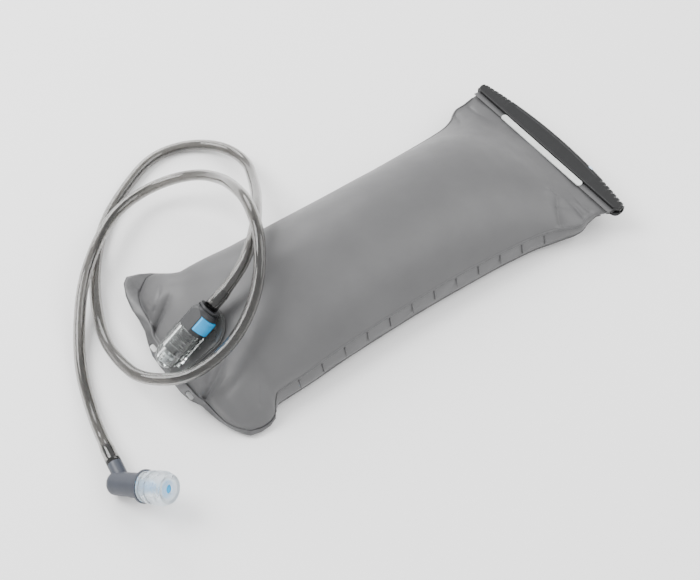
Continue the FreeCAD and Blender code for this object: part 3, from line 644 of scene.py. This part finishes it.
def cut_hanging_slots(obj):
    """Two upright oblong holes through the flange."""
    width, length = HANG_SLOT
    for x, y in HANG_SLOT_PLACES:
        plan = []
        for k in range(SLOT_SIDES):
            a = 2 * math.pi * (k + 0.5) / SLOT_SIDES
            run = math.copysign((length - width) / 2, math.sin(a))
            plan.append((x + width / 2 * math.cos(a), y + run + width / 2 * math.sin(a)))
        vertices = [(a, b, z) for z in SLOT_CUT for a, b in plan]
        cutter = make_object("slot_cutter", vertices, rod_faces(2, SLOT_SIDES), smooth=False)
        recalculate(cutter)
        mod = obj.modifiers.new("slot", "BOOLEAN")
        mod.object = cutter
        mod.solver = "EXACT"
        apply_modifiers(obj)
        bpy.data.objects.remove(cutter)


def weld_rim(material):
    """Flat welded flange along the bottom edge and round both ears, with two hanging slots."""
    side_rows = FILM_ROWS[FILM_ROWS <= RIM_TO]
    grid = front_points(side_rows, FILM_COLS)
    inner = np.concatenate([grid[::-1, 0], grid[0, 1:-1], grid[:, -1]])
    # Both edges are matched by their share of the way along.
    inner = along_path(inner, RIM_POINTS)
    outer = along_path(RIM_OUTLINE, RIM_POINTS)
    steps = np.linspace(0, 1, RIM_STEPS)
    points = np.array([inner * (1 - s) + outer * s for s in steps]).transpose(1, 0, 2)
    scale, seed, height = RIM_WAVE
    wave = wobble(points[..., 0], points[..., 1], scale, seed) * steps[None, :] * height
    points[..., 2] = np.maximum(points[..., 2] + wave, RIM_LEAST_Z)
    obj = grid_object("weld_flange", points)
    recalculate_up(obj)
    solidify(obj, FLANGE, offset=0.0)
    cut_hanging_slots(obj)
    assign(obj, material)
    return obj


FOLD_Y = (-88.0, 88.4)
FOLD_T = 0.6
FOLD_GAP = 0.75           # from the stiffener rod to the middle of the film round it
FOLD_FLAP = [(174.4, 26.4), (177.0, 26.2), (180.0, 25.5), (182.5, 25.2), (184.2, 25.6)]
FOLD_TAIL = [(183.4, 22.9), (179.0, 23.2)]
FOLD_TURN = [math.radians(115 - 20 * k) for k in range(13)]
FOLD_WAVE = 0.3
FOLD_SEED = 4.2


def rolled_top(material):
    """Film flattened at the mouth, rolled once round the stiffener rod; its flap lies on the neck."""
    low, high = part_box("fold_stiffener")
    cx, cz = (low.x + high.x) / 2 / MM, (low.z + high.z) / 2 / MM
    radius = (high.x - low.x) / 2 / MM + FOLD_GAP
    roll = [(cx + radius * math.cos(a), cz + radius * math.sin(a)) for a in FOLD_TURN]
    line = along_path(FOLD_FLAP + roll + FOLD_TAIL, 60)
    ys = np.linspace(FOLD_Y[0], FOLD_Y[1], 120)
    points = np.zeros((len(ys), len(line), 3))
    points[..., 0] = line[None, :, 0]
    points[..., 1] = ys[:, None]
    points[..., 2] = line[None, :, 1]
    # Only the flap's free edge is wavy.
    free = FOLD_WAVE * np.linspace(1, 0, len(line))[None, :] ** 4
    level = np.zeros(points.shape[:2])
    points[..., 2] += free * wobble(points[..., 1], level + 7.0, 28.0, FOLD_SEED)
    points[..., 0] += free * wobble(points[..., 1], level + 3.0, 40.0, FOLD_SEED)
    obj = grid_object("rolled_top", points)
    solidify(obj, FOLD_T, offset=0.0)
    recalculate(obj)
    assign(obj, material)
    return obj


# ---- closure -----------------------------------------------------------------
def rounded_loop(corners):
    """Points round a polygon with each corner rounded: corners are (x, z, radius)."""
    loop = []
    n = len(corners)
    for k in range(n):
        px, pz, _ = corners[k - 1]
        cx, cz, r = corners[k]
        nx, nz, _ = corners[(k + 1) % n]
        a = Vector((px - cx, pz - cz))
        b = Vector((nx - cx, nz - cz))
        reach = min(r, a.length * 0.48, b.length * 0.48)
        a.normalize()
        b.normalize()
        start = Vector((cx, cz)) + a * reach
        end = Vector((cx, cz)) + b * reach
        for s in np.linspace(0, 1, 6):
            mid = Vector((cx, cz))
            p = start * (1 - s) ** 2 + mid * 2 * s * (1 - s) + end * s * s
            loop.append((p.x, p.y))
    return loop


CLOSURE_HALF = 92.0
CLOSURE_FRONT = 180.2
CLOSURE_BACK = (191.0, 199.8)    # at the ends, and in the middle of the arch
CLOSURE_TOP = 29.0
CLOSURE_LOW = 19.0
CAVITY_X = 189.6
WALL = 1.9
LIP = 3.1                        # height of the mouth's edges from the top and from the bottom
CORNER = 6.0
END_ROUND = 2.0                  # length over which the two ends shrink
END_SHRINK = 1.2
JAW_REACH = 3.0                  # the lower jaw stands out under the film
JAW_END = (84.0, 87.0)
GRIP_PITCH = 5.0
GRIP_START = 60.0
GRIP_DEPTH = (1.9, 1.3)          # into the back, and into the top
LABEL_HALF = 54.0                # half length of the shallow field on top
LABEL_DEPTH = 0.5


def closure_plan(y):
    """X of the mouth and of the back at a place along the closure, and the depth of a grip groove."""
    rise = CLOSURE_BACK[1] - CLOSURE_BACK[0]
    radius = (CLOSURE_HALF ** 2 + rise ** 2) / (2 * rise)
    back = CLOSURE_BACK[1] - radius + math.sqrt(radius ** 2 - y ** 2)
    side = abs(y)
    turn = max(0.0, side - (CLOSURE_HALF - CORNER))
    front = CLOSURE_FRONT + CORNER - math.sqrt(CORNER ** 2 - min(turn, CORNER - 0.4) ** 2)
    groove = 0.0
    if side > GRIP_START - GRIP_PITCH * 0.5:
        groove = max(0.0, math.cos(2 * math.pi * (side - GRIP_START) / GRIP_PITCH)) ** 0.6
    return front, back, groove


def closure_ring(y):
    """C-shaped cross-section: lips at the mouth, shallow field on top, rounded and notched back."""
    f, b, groove = closure_plan(y)
    side = abs(y)
    into_end = max(0.0, (side - CLOSURE_HALF + END_ROUND) / END_ROUND)
    shrink = END_SHRINK * (1 - math.sqrt(max(0.0, 1 - into_end ** 2)))
    top, low = CLOSURE_TOP - shrink, CLOSURE_LOW + shrink
    field = LABEL_DEPTH * float(1 - smoothstep(LABEL_HALF - 2, LABEL_HALF, side))
    jaw = f - 0.2 - JAW_REACH * float(1 - smoothstep(JAW_END[0], JAW_END[1], side))
    b = b - 1.6 * shrink - GRIP_DEPTH[0] * groove
    g = GRIP_DEPTH[1] * groove
    inner = CAVITY_X - 1.2 * shrink
    # Corners as x, z and the round at each: upper lip, field, back, lower jaw, lower lip, cavity.
    return rounded_loop([
        (f, top - 0.7, 0.4), (f + 0.7, top, 0.4), (f + 2.0, top, 0.3), (f + 2.5, top - field, 0.3),
        (b - 4.6, top - field, 0.3), (b - 4.1, top - g * 0.3, 0.3), (b - 2.6, top - g * 0.5, 1.2),
        (b, top - 2.2 - g, 1.8), (b, low + 2.0, 1.8), (b - 2.4, low, 1.6),
        (f, low, 0.6), (jaw, low, 0.6), (jaw, low + 1.8, 0.6), (f + 0.1, low + 2.0, 0.4),
        (f + 0.2, low + LIP, 0.3), (f + 1.8, low + LIP, 0.3), (f + 2.0, low + WALL, 0.6),
        (inner, low + WALL, 1.2), (inner, top - WALL, 1.2),
        (f + 2.0, top - WALL, 0.6), (f + 1.8, top - LIP, 0.3), (f, top - LIP, 0.3)])


def tube_object(name, rings, material):
    """Closed solid through a row of rings, with flat ends."""
    obj = make_object(name, [v for ring in rings for v in ring], rod_faces(len(rings), len(rings[0])))
    bm = bmesh.new()
    bm.from_mesh(obj.data)
    bmesh.ops.triangulate(bm, faces=[f for f in bm.faces if len(f.verts) > 4])
    bmesh.ops.recalc_face_normals(bm, faces=bm.faces)
    bm.to_mesh(obj.data)
    bm.free()
    obj.data.shade_smooth()
    assign(obj, material)
    return obj


def closure_shell(material):
    """Channel that clamps the rolled film, arched at the back, with finger grips at both ends."""
    grip = GRIP_START - GRIP_PITCH * 0.6
    stations = np.concatenate([np.linspace(-CLOSURE_HALF, -grip, 150)[:-1],
                               np.linspace(-grip, grip, 60)[:-1],
                               np.linspace(grip, CLOSURE_HALF, 150)])
    rings = [[(x, y, z) for x, z in closure_ring(y)] for y in stations]
    return tube_object("closure_shell", rings, material)


END_WALL = [(181.0, 20.6, 0.8), (189.9, 20.6, 1.2), (189.9, 27.4, 1.2), (181.0, 27.4, 0.8)]
END_CENTRE = (186, 24)
# Places along the closure and the size of the end wall there, which rounds its edges.
END_STEPS = ((89.2, 0.92), (89.4, 0.98), (89.8, 1.0), (91.0, 1.0), (91.4, 0.97), (91.5, 0.9))
MARK_PLACE = (196.0, -43.0, 28.5)
MARK_HALF = (1.4, 2.6, 0.75)
MARK_TIP = 1e-3           # keeps the two tips from closing to a point


def closure_end(material):
    """Plug that closes the channel's far end."""
    cx, cz = END_CENTRE
    loop = rounded_loop(END_WALL)
    rings = [[(cx + (x - cx) * k, y, cz + (z - cz) * k) for x, z in loop] for y, k in END_STEPS]
    return tube_object("closure_end_wall", rings, material)


def closure_mark(material):
    """Small pale ellipsoid near one end of the channel's back."""
    x0, y0, z0 = MARK_PLACE
    half_x, half_y, half_z = MARK_HALF
    turns = np.linspace(0, 2 * math.pi, 13)[:-1]
    rings = []
    for a in np.linspace(0, math.pi, 13):
        across = half_x * math.sin(a) + MARK_TIP
        up = half_z * math.sin(a) + MARK_TIP
        y = y0 - half_y * math.cos(a)
        rings.append([(x0 + across * math.cos(b), y, z0 + up * math.sin(b)) for b in turns])
    return tube_object("closure_mark", rings, material)


# ---- hose ----------------------------------------------------------------------
def tube_frames(line):
    """Sideways directions carried along the line without twist."""
    frames = []
    side = None
    for k, p in enumerate(line):
        ahead = (line[min(k + 1, len(line) - 1)] - line[max(k - 1, 0)]).normalized()
        if side is None:
            side = ahead.orthogonal().normalized()
        side = (side - ahead * side.dot(ahead)).normalized()
        frames.append((p, side, ahead.cross(side).normalized()))
    return frames


def hose(line, material):
    """Hollow tube, swollen where it is pushed over a barb at each end."""
    lengths = [0.0]
    for a, b in zip(line, line[1:]):
        lengths.append(lengths[-1] + (b - a).length)
    total = lengths[-1]
    sides = HOSE_SIDES
    outer, inner = [], []
    for (p, side, up), s in zip(tube_frames(line), lengths):
        end = min(s, total - s) / MM
        swell = BARB_SWELL * (1 - smoothstep(BARB_LEN + BARB_FADE[0], BARB_LEN + BARB_FADE[1], end))
        for ring, radius in ((outer, HOSE_R + swell), (inner, HOSE_BORE_R + swell * BORE_SWELL)):
            row = []
            for j in range(sides):
                a = 2 * math.pi * j / sides
                q = p + (side * math.cos(a) + up * math.sin(a)) * (radius * MM)
                row.append(tuple(q / MM))
            ring.append(row)
    rows = len(line)
    vertices = [v for row in outer for v in row] + [v for row in inner for v in row]
    faces = grid_faces(rows, sides, wrap_cols=True)
    faces += [f[::-1] for f in grid_faces(rows, sides, wrap_cols=True, first=rows * sides)]
    for row in (0, rows - 1):
        for j in range(sides):
            a, b = row * sides + j, row * sides + (j + 1) % sides
            c, d = b + rows * sides, a + rows * sides
            faces.append((a, d, c, b) if row == 0 else (a, b, c, d))
    obj = make_object("hose_tube", vertices, faces)
    recalculate(obj)
    assign(obj, material)
    return obj


# ---- capacity marks ------------------------------------------------------------
TICK_FROM = -130.0
TICK_PITCH = 22.5
TICKS = 12
TICK_LEN = 8.5
TICK_DROP = 1.5           # how far below the seam a tick starts
TICK_RISE = 0.5           # how far it stands out from the gusset
TICK_STEPS = 9
TICK_BULGE = 3.4
TICK_PROFILE = [(-0.55, 0.0), (-0.3, 0.35), (0.3, 0.35), (0.55, 0.0), (0.0, -0.6)]


def tick_marks(material):
    """Short embossed graduation lines that hang from the near upper seam."""
    rows = TICK_FROM + TICK_PITCH * np.arange(TICKS)
    front = front_points(rows, np.array([-1.0]))[:, 0]
    back = back_points(rows, np.array([-1.0]))[:, 0]
    vertices, faces = [], []
    out = Vector((0, -1, 0))
    for upper, lower in zip(front, back):
        top, low = Vector(upper), Vector(lower)
        down = (low - top).normalized()
        faces += rod_faces(TICK_STEPS, len(TICK_PROFILE), first=len(vertices))
        for along in np.linspace(TICK_DROP, TICK_DROP + TICK_LEN, TICK_STEPS):
            bulge = TICK_BULGE * math.sin(math.pi * along / (low - top).length)
            centre = top + down * float(along) + out * (TICK_RISE + bulge)
            vertices += [tuple(centre + Vector((dx, -dy, 0))) for dx, dy in TICK_PROFILE]
    obj = make_object("capacity_ticks", vertices, faces)
    recalculate(obj)
    assign(obj, material)
    return obj


# ---- stage -----------------------------------------------------------------------
FLOOR_SIZE = 6.0
FLOOR_Z = -0.0004
WORLD_STRENGTH = 1.45
# Name, place in metres, diameter and power of each soft light.
LIGHTS = [
    ("key", (-0.9, 0.9, 1.5), 1.2, 38.0),
    ("fill", (1.1, -0.7, 1.4), 1.4, 18.0),
    ("rim", (0.2, 1.6, 0.9), 1.0, 15.0),
]


def add_stage():
    bpy.ops.mesh.primitive_plane_add(size=FLOOR_SIZE, location=(0, 0, FLOOR_Z))
    floor = bpy.context.object
    floor.name = "floor"
    m = Nodes("floor", (0.97, 0.97, 0.97), 0.9)
    m.vary_rough(m.noise(3, 2), 0.88, 0.95)
    assign(floor, m.mat)
    world = bpy.data.worlds.new("world")
    world.use_nodes = True
    background = world.node_tree.nodes["Background"]
    background.inputs["Color"].default_value = (1.0, 1.0, 1.0, 1.0)
    background.inputs["Strength"].default_value = WORLD_STRENGTH
    bpy.context.scene.world = world
    for light in LIGHTS:
        add_light(*light)


def add_light(name, place, size, power):
    data = bpy.data.lights.new(name, "AREA")
    data.shape = "DISK"
    data.size = size
    data.energy = power
    light = bpy.data.objects.new(name, data)
    light.location = place
    light.rotation_euler = (-Vector(place)).to_track_quat("-Z", "Y").to_euler()
    bpy.context.scene.collection.objects.link(light)


# ---- put together ------------------------------------------------------------------
add_camera()
line = hose_line()

film = film_material()
weld = weld_material()
closure_plastic = moulded_material("closure_plastic", (0.0085, 0.0088, 0.0094), 0.5, 1300, 0.12,
                                   Specular_IOR_Level=0.35)
pale_mark = moulded_material("pale_mark", (0.55, 0.66, 0.80), 0.3, 900, 0.02)
white_plastic = moulded_material("white_strip", (0.62, 0.64, 0.63), 0.42, 500, 0.05)
plug_plastic = moulded_material("plug_plastic", (0.016, 0.017, 0.019), 0.42, 1800, 0.05)
elbow_plastic = moulded_material("elbow_plastic", (0.033, 0.038, 0.052), 0.42, 1500, 0.05)
blue_plastic = moulded_material("blue_button", (0.006, 0.33, 0.70), 0.4, 900, 0.03)
blue_core = moulded_material("blue_core", (0.02, 0.40, 0.78), 0.25, 600, 0.03)
seal_rubber = moulded_material("seal_rubber", (0.02, 0.021, 0.022), 0.35, 900, 0.03)
poppet_plastic = moulded_material("poppet", (0.60, 0.62, 0.63), 0.35, 900, 0.03)
steel = metal_material("spring_steel", (0.55, 0.55, 0.57), 0.3)
clear = clear_material("clear_body", (0.93, 0.96, 0.95), 0.04)
smoke = clear_material("smoke_plate", (0.12, 0.123, 0.123), 0.22, through=0.25)
silicone = clear_material("clear_silicone", (0.90, 0.96, 1.0), 0.3, ior=1.35, through=0.8)
hose_tpu = clear_material("hose_tpu", (0.30, 0.292, 0.28), 0.05, ior=1.52)

tube = hose(line, hose_tpu)
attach(tube, "plug")
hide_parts("drinking_hose")

film_pieces = [
    (front_panel(film), "front_panel"),
    (back_panel(film), "back_panel"),
    (gusset("near_gusset", -1, film), "right_gusset"),
    (gusset("far_gusset", 1, film), "left_gusset"),
    (weld_rim(weld), "bottom_weld"),
    (rolled_top(film), "folded_top"),
]
for piece, node in film_pieces:
    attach(piece, "reservoir")
    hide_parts(node)

seam_rows = FILM_ROWS[(FILM_ROWS > SEAM_X[0]) & (FILM_ROWS < SEAM_X[1])]
for side, name in ((-1, "near"), (1, "far")):
    upper = front_points(seam_rows, np.array([side * 1.0]))[:, 0]
    lower = back_points(seam_rows, np.array([side * 1.0]))[:, 0]
    for label, path in (("upper", upper), ("lower", lower)):
        band = seam_band(f"{name}_{label}_seam", path, weld)
        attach(band, "reservoir")
ticks = tick_marks(weld)
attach(ticks, "reservoir")

shell = closure_shell(closure_plastic)
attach(shell, "closure")
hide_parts("slide_closure")
for detail in (closure_end(closure_plastic), closure_mark(pale_mark)):
    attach(detail, "closure")

CAD_MATERIALS = {
    "front_stiffener": white_plastic, "fold_stiffener": white_plastic, "port_plate": smoke,
    "port_body": clear, "port_poppet": poppet_plastic, "poppet_spring": steel, "seat_seal": seal_rubber,
    "plug_o_rings": seal_rubber, "plug_housing": plug_plastic, "plug_stem": plug_plastic,
    "latch_plate": steel, "release_button": blue_plastic, "button_spring": steel,
    "valve_elbow": elbow_plastic, "elbow_o_ring": seal_rubber, "valve_collar": elbow_plastic,
    "valve_core": blue_core, "bite_sheath": silicone,
}
for node, material in CAD_MATERIALS.items():
    assign(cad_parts[node], material)

add_stage()
